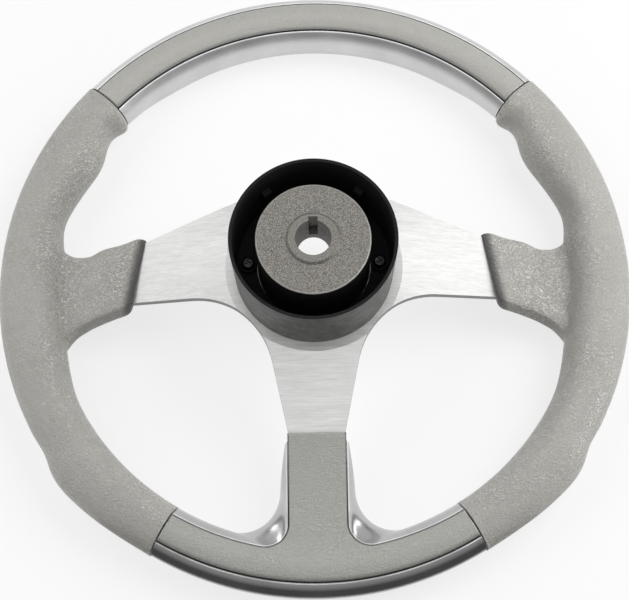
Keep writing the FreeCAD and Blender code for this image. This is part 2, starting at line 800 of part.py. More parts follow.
def trim_outline(degrees):
    """Outline of the shell's flared trims at the height that an angle round the rim's section gives."""
    level = tube_point(degrees).z
    side = max(0.0, math.cos(math.radians(degrees)))
    part = min(abs(degrees - size("trim_flare_angle")) / size("trim_flare_spread"), 1.0)
    flare = math.cos(part * math.pi / 2) ** 2
    half_width = size("stem_half_width") + size("trim_lip") + size("trim_flare") * flare
    corner = size("stem_corner_radius") - size("trim_lip") + size("trim_corner_flare") * flare
    inner = size("tube_circle") - (size("tube_radius") + size("seat_gap")) * side
    return tee_outline(level, half_width, corner, inner, size("shell_end"), lower_end + 2 * past_joint)


def trim_top():
    """The same outline above the cover's edge, clear of the stem's highest point."""
    highest = plate_height(size("stem_root"), "plate_rear_height") + size("stem_rise")
    half_width = size("stem_half_width") + size("trim_lip")
    corner = size("stem_corner_radius") - size("trim_lip")
    inner = tube_point(cover_to, size("trim_lip")).x
    return tee_outline(highest + 1, half_width, corner, inner, size("shell_end"), lower_end + 2 * past_joint)


flared = Part.makeLoft([trim_outline(degrees) for degrees in spread(-90, 53, 6)] + [trim_top()], True, False)
lower_full = swept(lower_section(), lower_start, lower_end)
lower_block = lower_full.common(flared)


def cover_prism(gap, end):
    """Upright prism with the T-shaped outline of the cover, wider by a gap."""
    half_width, corner = size("stem_half_width") + gap, size("stem_corner_radius") - gap
    wire = tee_outline(0, half_width, corner, tube_point(cover_to).x - gap, end, lower_end + 2 * past_joint)
    return Part.Face(wire).extrude(Vector(0, 0, size("plate_rear_height")))


rear_skin = rear_curve(0)
rear_skin.rotate(Vector(0, 0, 0), Vector(0, 0, 1), lower_start)
rear_skin = rear_skin.revolve(Vector(0, 0, 0), Vector(0, 0, 1), lower_end - lower_start)


def lower_rear_rim(edge):
    """Whether an edge bounds the rear of the lower cover."""
    return outside_rim(edge) or rear_skin.distToShape(Part.Vertex(edge_middle(edge)))[0] < 0.001


cover_ring = swept(lower_cover_section(size("seat_gap")), lower_start, lower_end)
seat_ring = swept(lower_cover_section(0), lower_start - past_joint, lower_end + past_joint)
lower_cover = cover_ring.common(cover_prism(0, size("stem_end")))
lower_seat = seat_ring.common(cover_prism(size("seat_gap"), size("stem_root") - 1))
lower_shell = lower_block.cut(lower_seat).cut(rim_rod.Shape).cut(spoke_plate.Shape)
solid_feature("lower_front_shell", lower_shell)
lower_cover = rounded_rim(lower_cover, size("cover_edge_round"), lower_rear_rim)
solid_feature("lower_rear_cover", lower_cover.cut(spoke_plate.Shape))

# Grips: a rim section that swells for thumb and palm, and a wing that sheathes the spoke's end
# The grip's section is flatter towards the hub at the rear, in shares of its half width and half height

GRIP_SHAPE = [
    (1, 0),
    (0.8, 0.6),
    (0.16, 0.95),
    (-0.32, 0.985),
    (-0.78, 0.64),
    (-1, 0),
    (-0.74, -0.68),
    (0, -1),
    (0.74, -0.68),
]


def grip_section(angle):
    """Section of the grip at an angle from the X axis, with its crest nearer the hub."""
    thumb_above = smooth((size("thumb_upper_end") - angle) / size("thumb_upper_run"))
    thumb_below = smooth((angle - size("thumb_lower_end")) / size("thumb_lower_run"))
    thumb = size("thumb_reach") * thumb_above * thumb_below
    heel_up = smooth((-angle - size("heel_start")) / (size("heel_peak") - size("heel_start")))
    heel_down = smooth((-angle - size("heel_peak")) / (size("heel_end") - size("heel_peak")))
    heel = size("heel_reach") * heel_up * (1 - heel_down)
    palm_above = smooth((size("palm_upper_end") - angle) / size("palm_upper_run"))
    palm_below = smooth((size("palm_lower_end") + angle) / size("palm_lower_run"))
    palm = size("palm_reach") * palm_above * palm_below
    half = size("tube_radius") + size("grip_swell")
    inner = size("tube_circle") - half - thumb - palm
    outer = size("tube_circle") + half + heel
    middle, reach = (inner + outer) / 2, (outer - inner) / 2
    points = [polar(middle + reach * across, angle, size("tube_radius") * (1 + up)) for across, up in GRIP_SHAPE]
    return closed_spline(points, spacing_of(GRIP_SHAPE))


# The wing, from its face on the spoke (0) to the rim's inner side (1) and on into the rim
# Each row has that part of the reach, then how far the lower and upper limits stand out, as shares

WING_FLARE = [
    (0, 0, 0.148),
    (0.015, 0, 0.15),
    (0.045, 0, 0.15),
    (0.1, 0, 0.148),
    (0.18, 0.024, 0.099),
    (0.3, 0.077, 0.032),
    (0.42, 0.138, -0.003),
    (0.5, 0.185, -0.053),
    (0.58, 0.246, -0.15),
    (0.66, 0.315, -0.175),
    (0.74, 0.43, -0.156),
    (0.82, 0.6, -0.085),
    (0.91, 0.82, 0.07),
    (1.0, 1.0, 0.24),
    (1.1, 1.05, 0.24),
    (1.2, 0.95, 0.14),
]


def wing_shape(count):
    """A box with well rounded corners, in shares of its half width and half height."""
    power = 2 / size("wing_squareness")
    shape = []
    for turned in ((index + 0.5) * 2 * math.pi / count for index in range(count)):
        across = math.copysign(abs(math.cos(turned)) ** power, math.cos(turned))
        shape.append((across, math.copysign(abs(math.sin(turned)) ** power, math.sin(turned))))
    return shape


WING_SHAPE = wing_shape(24)


def wing_levels(part, lip):
    """Heights of the wing's front and rear. Past the crease the rear climbs towards the rim's crest."""
    radius = size("wing_face") + size("wing_reach") * part
    inside = min(radius, size("plate_slope_end_radius"))
    rear = plate_height(inside, "plate_rear_height") + size("wing_rear_skin") * lip
    climb = (part - size("crease_part")) / (1 - size("crease_part")) / 2
    crest = tube_point(90).z - plate_height(size("tube_inner"), "plate_rear_height")
    rear += (crest - 2 * size("wing_rear_skin")) * min(max(climb, 0.0), 0.9)
    front = plate_height(inside, "plate_front_height") - size("wing_front_skin") * lip
    return max(front, size("wing_rear_skin")), rear


def wing_section(part, lower_share, upper_share):
    """Section of the wing at a part of its reach, with the shares of its lower and upper flare."""
    radius = size("wing_face") + size("wing_reach") * part
    edge_part = min(part * size("wing_reach") / size("wing_edge_run"), 1.0)
    lip = 0.35 + 0.65 * math.sqrt(1 - (1 - edge_part) ** 2)
    front, rear = wing_levels(part, lip)
    skin = size("wing_side_skin") * lip
    lower = -size("side_spoke_lower_edge") - skin - size("wing_lower_flare") * lower_share
    upper = joint_height + skin + size("wing_upper_flare") * upper_share
    middle, reach = (lower + upper) / 2, (upper - lower) / 2
    level, depth = (front + rear) / 2, (rear - front) / 2
    shear = size("wing_shear") * (1 - min(part, 1.0))
    points = []
    for across, up in WING_SHAPE:
        draft = size("wing_lower_draft") * lip * max(-across, 0) * (1 - up) / 2
        offset = reach * across - draft
        points.append(Vector(radius - shear * offset, middle + offset, level + depth * up))
    return closed_spline(points, spacing_of(WING_SHAPE))


grip_angles = spread(size("upper_joint_angle"), -size("lower_joint_angle"), 31)
grip_tube = Part.makeLoft([grip_section(angle) for angle in grip_angles], True, False)
wing = Part.makeLoft([wing_section(*row) for row in WING_FLARE], True, False)
crease = grip_tube.Shells[0].section(wing.Shells[0])
grip = grip_tube.fuse(wing)


def on_crease(edge):
    """Whether an edge is where the wing runs into the rim's part of the grip."""
    return crease.distToShape(Part.Vertex(edge_middle(edge)))[0] < 0.001


grip = grip.makeFillet(size("grip_crease_round"), [edge for edge in grip.Edges if on_crease(edge)])
grip = grip.cut(rim_rod.Shape).cut(spoke_plate.Shape)
grip_right = solid_feature("grip_right", grip)
grip_left = doc.addObject("Part::Mirroring", "grip_left")
grip_left.Label = "grip_left"
grip_left.Source = grip_right
grip_left.Normal = Vector(1, 0, 0)
doc.recompute()

# Checks and export

NODES = [
    "rim_rod",
    "spoke_plate",
    "grip_left",
    "grip_right",
    "upper_front_shell",
    "upper_rear_cover",
    "lower_front_shell",
    "lower_rear_cover",
    "hub_body",
    "hub_screws",
    "collar",
    "collar_screws",
]

for item in doc.Objects:
    if "Invalid" in item.State or "Error" in item.State:
        raise RuntimeError("%s did not build: %s" % (item.Label, item.State))
for name in NODES:
    shape = doc.getObject(name).Shape
    if shape.isNull() or not shape.isValid():
        raise RuntimeError(name + " is not a valid shape")

os.makedirs("parts", exist_ok=True)
for name in NODES:
    doc.getObject(name).Shape.exportStep("parts/%s.step" % name)
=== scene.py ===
import math

import bpy
from mathutils import Matrix, Vector


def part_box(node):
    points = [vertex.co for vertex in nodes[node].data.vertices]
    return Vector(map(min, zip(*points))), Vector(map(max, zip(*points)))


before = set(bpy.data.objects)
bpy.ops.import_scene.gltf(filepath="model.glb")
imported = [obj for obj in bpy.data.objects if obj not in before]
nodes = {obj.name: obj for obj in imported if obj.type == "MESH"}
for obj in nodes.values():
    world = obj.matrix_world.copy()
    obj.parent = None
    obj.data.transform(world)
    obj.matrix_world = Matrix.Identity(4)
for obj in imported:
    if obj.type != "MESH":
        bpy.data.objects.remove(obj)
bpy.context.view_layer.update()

# Everything is in metres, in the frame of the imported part. The wheel lies face down on the floor.
# Angles are in degrees. Azimuth 0 is in front, beyond the lower spoke, and 90 is on the right.
# Colours are sRGB, from 0 to 255. A texture's scale is in repeats per metre.

# Places on the wheel, from the frame. The rim's front lies at Z = 0, so its tube's middle is a radius up.

rod_low, rod_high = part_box("rim_rod")
collar_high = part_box("collar")[1]

TUBE_MIDDLE = (rod_low.z + rod_high.z) / 2
TUBE_RADIUS = TUBE_MIDDLE
TUBE_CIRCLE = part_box("upper_front_shell")[1].y - TUBE_RADIUS
HUB_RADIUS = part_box("hub_body")[1].x
COLLAR_RADIUS = collar_high.x
COLLAR_TOP = collar_high.z

# Rear covers, as the part has them: their edges are angles round the tube, and one has a stem

COVER_INNER_ANGLE = 53
COVER_OUTER_ANGLE = 58
STEM_HALF_WIDTH = 0.0157
STEM_CORNER = 0.0122
SEAM_OVER_MIDDLE = 0.006

COVER_INNER = TUBE_CIRCLE - TUBE_RADIUS * math.cos(math.radians(COVER_INNER_ANGLE))
COVER_OUTER = TUBE_CIRCLE + TUBE_RADIUS * math.cos(math.radians(COVER_OUTER_ANGLE))
CORNER_X = STEM_HALF_WIDTH + STEM_CORNER
CORNER_Y = -math.sqrt((COVER_INNER - STEM_CORNER) ** 2 - CORNER_X**2)

# Wings of the grips, as the part has them: each ends in a face that slants by its shear

WING_REACH = 0.0495
WING_SHEAR = 0.2

WING_FACE = TUBE_CIRCLE - TUBE_RADIUS - WING_REACH


def towards(azimuth, elevation):
    """The direction from the wheel to a camera or a lamp."""
    a, e = math.radians(azimuth), math.radians(elevation)
    return Vector((math.sin(a) * math.cos(e), -math.cos(a) * math.cos(e), math.sin(e)))


def add_object(name, data):
    made = bpy.data.objects.new(name, data)
    bpy.context.scene.collection.objects.link(made)
    return made


# Camera, recovered from the ellipses of the hub, collar and rim

CAMERA_DISTANCE = 1.0
CAMERA_AZIMUTH = 0.5
CAMERA_ELEVATION = 71.99
CAMERA_ROLL = -1.47
CAMERA_TARGET = Vector((-0.00008, -0.00877, TUBE_MIDDLE))
CAMERA_LENS = 102.784
CAMERA_SENSOR = 36


def add_camera():
    azimuth, roll = math.radians(CAMERA_AZIMUTH), math.radians(CAMERA_ROLL)
    back = towards(CAMERA_AZIMUTH, CAMERA_ELEVATION)
    level = Vector((math.cos(azimuth), math.sin(azimuth), 0))
    upright = back.cross(level)
    right = level * math.cos(roll) + upright * math.sin(roll)
    up = -level * math.sin(roll) + upright * math.cos(roll)
    data = bpy.data.cameras.new("camera")
    data.lens = CAMERA_LENS
    data.sensor_width = CAMERA_SENSOR
    camera = add_object("camera", data)
    turn = Matrix((right, up, back)).transposed().to_4x4()
    camera.matrix_world = Matrix.Translation(CAMERA_TARGET + back * CAMERA_DISTANCE) @ turn
    bpy.context.scene.camera = camera


# Helpers for node materials

RISING = (0.0, 1.0)
FALLING = (1.0, 0.0)
SHADER_SOCKETS = {
    "colour": "Base Color",
    "metal": "Metallic",
    "roughness": "Roughness",
    "specular": "Specular IOR Level",
    "normal": "Normal",
}


def linear(colour, brightness=1.0):
    """An sRGB colour, made brighter or darker, as the linear colour that a socket takes."""
    values = []
    for value in colour:
        value = brightness * value / 255
        values.append(value / 12.92 if value <= 0.04045 else ((value + 0.055) / 1.055) ** 2.4)
    return (*values, 1.0)


def grey(value):
    return (value, value, value)


def fill(tree, socket, value):
    """Links a socket to another node's output, or gives it a plain value."""
    if isinstance(value, bpy.types.NodeSocket):
        tree.links.new(value, socket)
    else:
        socket.default_value = value


def add(tree, kind, inputs=None, **settings):
    """Adds a node, sets its settings, and links or fills its inputs."""
    node = tree.nodes.new("ShaderNode" + kind)
    for key, value in settings.items():
        setattr(node, key, value)
    for key, value in (inputs or {}).items():
        fill(tree, node.inputs[key], value)
    return node


def new_material(name):
    """A material with its node tree and its main shader."""
    made = bpy.data.materials.new(name)
    made.use_nodes = True
    tree = made.node_tree
    return made, tree, tree.nodes["Principled BSDF"]


def set_shader(tree, shader, **values):
    """Links or fills the shader's sockets, which have short names here."""
    for key, value in values.items():
        fill(tree, shader.inputs[SHADER_SOCKETS[key]], value)


def place(tree, scale=(1, 1, 1)):
    """Object coordinates, scaled along each axis, so that nothing depends on UVs."""
    spot = add(tree, "TexCoord").outputs["Object"]
    return add(tree, "Mapping", {"Vector": spot, "Scale": scale}).outputs["Vector"]


def sides(tree):
    """Object coordinates as separate X, Y and Z, with the distance from the steering axis."""
    spot = add(tree, "TexCoord").outputs["Object"]
    split = add(tree, "SeparateXYZ", {"Vector": spot}).outputs
    return split["X"], split["Y"], split["Z"], length(tree, split["X"], split["Y"])


def length(tree, x, y):
    flat = add(tree, "CombineXYZ", {"X": x, "Y": y}).outputs["Vector"]
    return add(tree, "VectorMath", {0: flat}, operation="LENGTH").outputs["Value"]


def noise(tree, vector, scale, detail=2.0, roughness=0.5, distortion=0.0):
    shape = {"Scale": scale, "Detail": detail, "Roughness": roughness, "Distortion": distortion}
    return add(tree, "TexNoise", {"Vector": vector, **shape}).outputs["Fac"]


def warped(tree, spot, scale, amount):
    """Coordinates pushed about by a noise, so that cells run unevenly."""
    drift = add(tree, "TexNoise", {"Vector": spot, "Scale": scale}).outputs["Color"]
    centred = add(tree, "VectorMath", {0: drift, 1: (0.5, 0.5, 0.5)}, operation="SUBTRACT").outputs["Vector"]
    push = add(tree, "VectorMath", {0: centred, "Scale": amount}, operation="SCALE").outputs["Vector"]
    return add(tree, "VectorMath", {0: spot, 1: push}, operation="ADD").outputs["Vector"]


def remap(tree, value, source, target=RISING, kind="LINEAR"):
    """The value, with one range stretched onto another and cut off at its ends."""
    ranges = {"From Min": source[0], "From Max": source[1], "To Min": target[0], "To Max": target[1]}
    return add(tree, "MapRange", {"Value": value, **ranges}, interpolation_type=kind).outputs["Result"]


def maths(tree, operation, *values):
    return add(tree, "Math", dict(enumerate(values)), operation=operation).outputs["Value"]


def times(tree, first, second):
    return maths(tree, "MULTIPLY", first, second)


def minus(tree, first, second):
    return maths(tree, "SUBTRACT", first, second)


def weighted(tree, *terms):
    """The sum of the values, each times its weight."""
    shares = [times(tree, value, weight) for value, weight in terms]
    total = shares[0]
    for share in shares[1:]:
        total = maths(tree, "ADD", total, share)
    return total


def choose(tree, test, first, second):
    """The second number where the test is one, else the first. Blender's Mix has them at inputs 2 and 3."""
    return add(tree, "Mix", {0: test, 2: first, 3: second}).outputs[0]


def mix(tree, factor, first, second):
    """The first colour turning into the second. Blender's Mix has them at inputs 6 and 7."""
    return add(tree, "Mix", {0: factor, 6: first, 7: second}, data_type="RGBA").outputs[2]


def bump(tree, height, strength, distance, normal=None):
    inputs = {"Height": height, "Strength": strength, "Distance": distance}
    if normal is not None:
        inputs["Normal"] = normal
    return add(tree, "Bump", inputs).outputs["Normal"]


# Lines along the rear covers

LINE_BLUR = 0.0003
SEAM_HALF_WIDTH = 0.0002
GROOVE_HALF_WIDTH = 0.00022
LIP_HALF_WIDTH = 0.00012
LIP_BESIDE_COVER = 0.0008


def inside_cover(tree, stem):
    """How far inside a cover's outline a point lies in plan: from its inner edge and from its outer edge.

    With a stem, the inner edge turns round a corner and runs down beside the stem."""
    x, y, _, radius = sides(tree)
    inner = minus(tree, radius, COVER_INNER)
    if stem:
        across = maths(tree, "ABSOLUTE", x)
        beside = minus(tree, STEM_HALF_WIDTH, across)
        away = length(tree, minus(tree, across, CORNER_X), minus(tree, y, CORNER_Y))
        corner = minus(tree, away, STEM_CORNER)
        near_stem = choose(tree, maths(tree, "GREATER_THAN", y, CORNER_Y), corner, beside)
        past_corner = weighted(tree, (across, -CORNER_Y), (y, CORNER_X))
        inner = choose(tree, maths(tree, "LESS_THAN", past_corner, 0.0), inner, near_stem)
    return inner, minus(tree, COVER_OUTER, radius)


def stripe(tree, distance, middle, half_width):
    """One within half a width of a distance inside the outline, on the rear of the rim only."""
    away = maths(tree, "ABSOLUTE", minus(tree, distance, middle))
    line = remap(tree, away, (half_width, half_width + LINE_BLUR), FALLING, "SMOOTHSTEP")
    height = sides(tree)[2]
    return times(tree, line, maths(tree, "GREATER_THAN", height, TUBE_MIDDLE + SEAM_OVER_MIDDLE))


# Grained vinyl of the grips and covers. Hand wear with painted highlights and shade reaches, and wings end,
# between two radii, and a wing's edge is rolled over between two distances from its face.

PEBBLE_SIZE = 0.0015
PEBBLE_DRIFT = 0.0016
WRINKLE_STRETCH = (0.7, 1.25, 1.0)
SWELL_DEPTH = 0.0008
CREASE_SHARE = 0.4
# Crests are painted lighter as highlights, and creases darker as shade.
CREST_HIGHLIGHT_BRIGHTNESS = 1.16
CREASE_SHADE_BRIGHTNESS = 0.92
EDGE_BRIGHTNESS = 0.47
# The covers' margins are painted darker, as shade.
MARGIN_SHADE_BRIGHTNESS = 0.52
SEAM_COLOUR = (26, 26, 25)
WEAR_AND_HIGHLIGHT_REACH = (0.145, 0.162)
WING_ROLL = (0.0022, 0.0078)
WING_END = (0.12, 0.125)


def grain(tree, spot):
    """Height of the grain, its wrinkles alone, and how little each patch is worn."""
    uneven = warped(tree, spot, scale=380.0, amount=PEBBLE_DRIFT)
    cell_inputs = {"Vector": uneven, "Scale": 1 / PEBBLE_SIZE, "Smoothness": 0.4}
    cells = add(tree, "TexVoronoi", cell_inputs, feature="SMOOTH_F1").outputs["Distance"]
    pebbles = remap(tree, cells, (0.1, 0.8), FALLING)
    folds = noise(tree, place(tree, WRINKLE_STRETCH), scale=820.0, roughness=0.55, distortion=0.6)
    from_crease = maths(tree, "ABSOLUTE", minus(tree, folds, 0.5))
    wrinkles = remap(tree, from_crease, (0.0, 0.13), RISING, "SMOOTHSTEP")
    fine = noise(tree, spot, scale=3200.0)
    fresh = remap(tree, noise(tree, spot, scale=26.0), (0.35, 0.65), (0.45, 1.0))
    return weighted(tree, (pebbles, 0.4), (wrinkles, 0.65), (fine, 0.15)), wrinkles, fresh


def rubbed_and_highlit(tree, colour, light, dark, wrinkles, share):
    """Crests painted light, as wear and as highlight, and creases painted dark as shade."""
    lit_crests = remap(tree, wrinkles, (CREASE_SHARE, 1.0))
    colour = mix(tree, times(tree, lit_crests, share), colour, linear(light, CREST_HIGHLIGHT_BRIGHTNESS))
    shaded_creases = remap(tree, wrinkles, (0.0, CREASE_SHARE), FALLING)
    return mix(tree, times(tree, shaded_creases, share), colour, linear(dark, CREASE_SHADE_BRIGHTNESS))


def shaded_margins(tree, colour, dark, stem, inner_run, outer_run):
    """A cover's margins, painted darker as shade where they roll over, with a dark seam along the outline."""
    inner, outer = inside_cover(tree, stem)
    inner_shade = remap(tree, inner, (0.0, inner_run), FALLING)
    outer_shade = remap(tree, outer, (0.0, outer_run), FALLING)
    margin_shade = maths(tree, "MAXIMUM", inner_shade, outer_shade)
    colour = mix(tree, margin_shade, colour, linear(dark, MARGIN_SHADE_BRIGHTNESS))
    seam = stripe(tree, maths(tree, "MINIMUM", inner, outer), 0.0, SEAM_HALF_WIDTH)
    return mix(tree, seam, colour, linear(SEAM_COLOUR))


def leather(name, light, dark, depth, shine=0.28, wear_and_highlight=None, edge=None, margins=None):
    """Grained vinyl: uneven pebbles with wrinkles across them, worn smoother in patches.

    Wear and highlight, and edge, are masks: where hands rub, with painted highlights and shade, and where
    the wings' rolled edges are made darker. Margins say whether a cover has a stem, and how far in from its
    inner and its outer edge painted shade reaches."""
    made, tree, shader = new_material(name)
    spot = place(tree)
    height, wrinkles, fresh = grain(tree, spot)
    tone = weighted(tree, (height, 0.5), (fresh, 0.4))
    colour = mix(tree, remap(tree, tone, (0.3, 1.0)), linear(dark), linear(light))
    # Hand wear, with crests painted light as highlights and creases painted dark as shade.
    if wear_and_highlight:
        colour = rubbed_and_highlit(tree, colour, light, dark, wrinkles, times(tree, fresh, wear_and_highlight(tree)))
    if edge:
        colour = mix(tree, edge(tree), colour, linear(dark, EDGE_BRIGHTNESS))
    # Painted shade along a cover's margins, and its dark seam.
    if margins:
        colour = shaded_margins(tree, colour, dark, *margins)
    grained = bump(tree, times(tree, height, fresh), strength=0.7, distance=depth)
    swells = noise(tree, spot, scale=110.0, distortion=0.6)
    normal = bump(tree, swells, strength=0.3, distance=SWELL_DEPTH, normal=grained)
    gloss = weighted(tree, (fresh, 1.0), (height, -0.5))
    roughness = remap(tree, gloss, RISING, (shine - 0.05, shine + 0.12))
    set_shader(tree, shader, colour=colour, roughness=roughness, specular=0.8, normal=normal)
    return made


def hand_wear_and_highlight(tree):
    """Inner side of the grips and wings, where hands rub and the grain gets painted highlights and shade."""
    return remap(tree, sides(tree)[3], WEAR_AND_HIGHLIGHT_REACH, (0.8, 0.12), "SMOOTHSTEP")


def wing_edge(tree):
    """Rolled edge of each wing against the spoke, where the colour is made darker."""
    x, y, _, radius = sides(tree)
    slanted = weighted(tree, (maths(tree, "ABSOLUTE", x), 1.0), (y, WING_SHEAR))
    roll = remap(tree, minus(tree, slanted, WING_FACE), WING_ROLL, FALLING, "SMOOTHSTEP")
    return times(tree, roll, remap(tree, radius, WING_END, FALLING))


# Brushed plate

BRUSH_SCALE = Vector((85.0, 1500.0, 500.0))
BRUSH_DEPTH = 0.00002


def upward(tree):
    """One where the surface faces up or down, nought on upright edges."""
    normal = add(tree, "TexCoord").outputs["Normal"]
    steep = maths(tree, "ABSOLUTE", add(tree, "SeparateXYZ", {"Vector": normal}).outputs["Z"])
    return remap(tree, steep, (0.35, 0.75))


def brushed_metal(name, light, dark, edge, shine):
    """Aluminium sheet brushed along X in short strokes. Its cut edges are duller, and painted darker as
    shade.
    """
    made, tree, shader = new_material(name)
    lines = noise(tree, place(tree, BRUSH_SCALE), scale=1.0, detail=3.0, roughness=0.7)
    strokes = noise(tree, place(tree, BRUSH_SCALE / 3), scale=1.0)
    stains = noise(tree, place(tree), scale=30.0)
    face = upward(tree)
    tone = weighted(tree, (lines, 0.7), (strokes, 0.3))
    sheet = mix(tree, remap(tree, tone, (0.32, 0.68)), linear(dark), linear(light))
    scratched = weighted(tree, (lines, 1.0), (stains, 0.3))
    worn = remap(tree, scratched, (0.3, 1.0), (shine, shine + 0.12))
    # Upright cut edges take the edge colour, which is painted shade.
    set_shader(
        tree,
        shader,
        colour=mix(tree, face, linear(edge), sheet),
        metal=1.0,
        roughness=weighted(tree, (worn, 1.0), (minus(tree, 1.0, face), 0.1)),
        normal=bump(tree, lines, strength=0.5, distance=BRUSH_DEPTH),
    )
    return made


# Plated shells and the rod

DRAWN_DEPTH = 0.000006
# The lip's colour is a painted highlight.
LIP_HIGHLIGHT_COLOUR = (250, 250, 250)
INNER_LIP_HIGHLIGHT_SHARE = 0.7
GROOVE_COLOUR = (24, 24, 24)


def plated(name, light, dark, shine, stem=None):
    """Silver plating with faint drawn lines that follow the rim, and soft clouds.

    Round a cover, with its stem or without, the plating ends in a lip with a painted highlight and a dark
    groove."""
    made, tree, shader = new_material(name)
    _, _, z, radius = sides(tree)
    rings = add(tree, "CombineXYZ", {"X": radius, "Y": z}).outputs["Vector"]
    drawn = noise(tree, rings, scale=2400.0, detail=3.0, roughness=0.6)
    clouds = noise(tree, place(tree), scale=60.0, detail=3.0)
    tone = maths(tree, "ADD", drawn, clouds)
    colour = mix(tree, remap(tree, tone, (0.7, 1.3)), linear(dark), linear(light))
    metal = 1.0
    if stem is not None:
        inner, outer = inside_cover(tree, stem)
        # The lip is a painted highlight: a bright colour with less metal, so that it shows.
        lip_highlights = [stripe(tree, side, -LIP_BESIDE_COVER, LIP_HALF_WIDTH) for side in (inner, outer)]
        lip_highlight = maths(tree, "MAXIMUM", times(tree, lip_highlights[0], INNER_LIP_HIGHLIGHT_SHARE), lip_highlights[1])
        lip_highlight = times(tree, lip_highlight, remap(tree, clouds, (0.35, 0.6), (0.55, 1.0)))
        groove = stripe(tree, maths(tree, "MINIMUM", inner, outer), 0.0, GROOVE_HALF_WIDTH)
        colour = mix(tree, lip_highlight, colour, linear(LIP_HIGHLIGHT_COLOUR))
        colour = mix(tree, groove, colour, linear(GROOVE_COLOUR))
        metal = minus(tree, 1.0, maths(tree, "MAXIMUM", times(tree, lip_highlight, 0.8), groove))
    roughness = remap(tree, tone, (0.6, 1.4), (shine, shine + 0.08))
    normal = bump(tree, drawn, strength=0.4, distance=DRAWN_DEPTH)
    set_shader(tree, shader, colour=colour, metal=metal, roughness=roughness, normal=normal)
    return made


# Hub. Its edge is rubbed lighter between two insets from its radius, as wear and as a painted highlight.

CASTING_DARK = (70, 68, 65)
CASTING_LIGHT = (162, 159, 153)
RUBBED_HIGHLIT_CASTING = (206, 204, 198)
GRIT_DEPTH = 0.00025
PAINT_BLUR = 0.0001
PAINT_RAGGED = 0.0003
RUBBED_HIGHLIT_EDGE = (0.0009, 0.0005)


def cast_hub(name):
    """Grit-blasted casting on the face and in the bore, black paint on the column below the face."""
    made, tree, shader = new_material(name)
    spot = place(tree)
    radius = sides(tree)[3]
    grit = noise(tree, spot, scale=3000.0, detail=3.0, roughness=0.7)
    specks = noise(tree, spot, scale=1500.0, roughness=0.6)
    pits = noise(tree, spot, scale=520.0)
    tone = weighted(tree, (grit, 0.6), (specks, 0.4))
    cast = mix(tree, remap(tree, tone, (0.38, 0.62)), linear(CASTING_DARK), linear(CASTING_LIGHT))
    # The face's rim is painted lighter: rubbed metal and a painted highlight.
    edge = remap(tree, radius, tuple(HUB_RADIUS - inset for inset in RUBBED_HIGHLIT_EDGE), (0.0, 0.7))
    face = mix(tree, edge, cast, linear(RUBBED_HIGHLIT_CASTING))
    paint = mix(tree, grit, linear(grey(16)), linear(grey(26)))
    ragged = weighted(tree, (radius, 1.0), (pits, PAINT_RAGGED))
    painted = remap(tree, ragged, (HUB_RADIUS - PAINT_BLUR, HUB_RADIUS + PAINT_BLUR))
    height = weighted(tree, (grit, 1.0), (pits, 0.8))
    set_shader(
        tree,
        shader,
        colour=mix(tree, painted, face, paint),
        metal=remap(tree, painted, RISING, (0.75, 0.0)),
        roughness=remap(tree, maths(tree, "ADD", painted, grit), (0.2, 1.6), (0.46, 0.6)),
        normal=bump(tree, height, strength=0.6, distance=GRIT_DEPTH),
    )
    return made


# Collar. The outer finish, painted lighter as lit, starts between two insets from its radius, and ends
# between two from its top.

COLLAR_LIT_OUTSIDE = ((46, 45, 44), (94, 93, 91))
COLLAR_SHADED_INSIDE = ((8, 8, 8), (18, 18, 18))
COLLAR_WALL = (0.0017, 0.0014)
COLLAR_LIP = (0.0006, 0.0002)
PEEL_DEPTH = 0.00012


def collar_paint(name):
    """Black moulding: smooth and deep black inside, with a rubbed powder texture on the outside. Its inside
    is painted darker as shade, and its outside lighter as lit.
    """
    made, tree, shader = new_material(name)
    spot = place(tree)
    _, _, z, radius = sides(tree)
    peel = noise(tree, spot, scale=2200.0, detail=3.0, roughness=0.7)
    patches = noise(tree, spot, scale=160.0, detail=3.0)
    tone = remap(tree, weighted(tree, (peel, 0.75), (patches, 0.25)), (0.38, 0.62))
    # One black, painted lighter outside as lit and darker inside as shade.
    lit_outside = mix(tree, tone, *(linear(colour) for colour in COLLAR_LIT_OUTSIDE))
    shaded_inside = mix(tree, tone, *(linear(colour) for colour in COLLAR_SHADED_INSIDE))
    wall = remap(tree, radius, tuple(COLLAR_RADIUS - inset for inset in COLLAR_WALL))
    below_lip = remap(tree, z, tuple(COLLAR_TOP - inset for inset in COLLAR_LIP), FALLING)
    outer = times(tree, wall, below_lip)
    sheen = remap(tree, maths(tree, "ADD", peel, patches), (0.6, 1.4), (0.56, 0.42))
    set_shader(
        tree,
        shader,
        colour=mix(tree, outer, shaded_inside, lit_outside),
        roughness=maths(tree, "ADD", sheen, remap(tree, outer, RISING, (0.25, 0.0))),
        specular=0.3,
        normal=bump(tree, peel, strength=0.6, distance=PEEL_DEPTH),
    )
    return made


# Screws

STEEL_DEPTH = 0.00005


def blackened_steel(name, light, dark, shine):
    """Blackened steel, rubbed brighter on its high spots."""
    made, tree, shader = new_material(name)
    spot = place(tree)
    peel = noise(tree, spot, scale=1800.0, detail=3.0, roughness=0.6)
    patches = noise(tree, spot, scale=420.0)
    share = remap(tree, times(tree, peel, patches), (0.2, 0.42))
    set_shader(
        tree,
        shader,
        colour=mix(tree, share, linear(dark), linear(light)),
        metal=0.6,
        roughness=remap(tree, peel, (0.3, 0.7), (shine + 0.08, shine - 0.06)),
        normal=bump(tree, peel, strength=0.5, distance=STEEL_DEPTH),
    )
    return made


def dress(material, *node_names):
    for name in node_names:
        for slot in nodes[name].material_slots:
            slot.link = "OBJECT"
            slot.material = material


# Floor, card and world

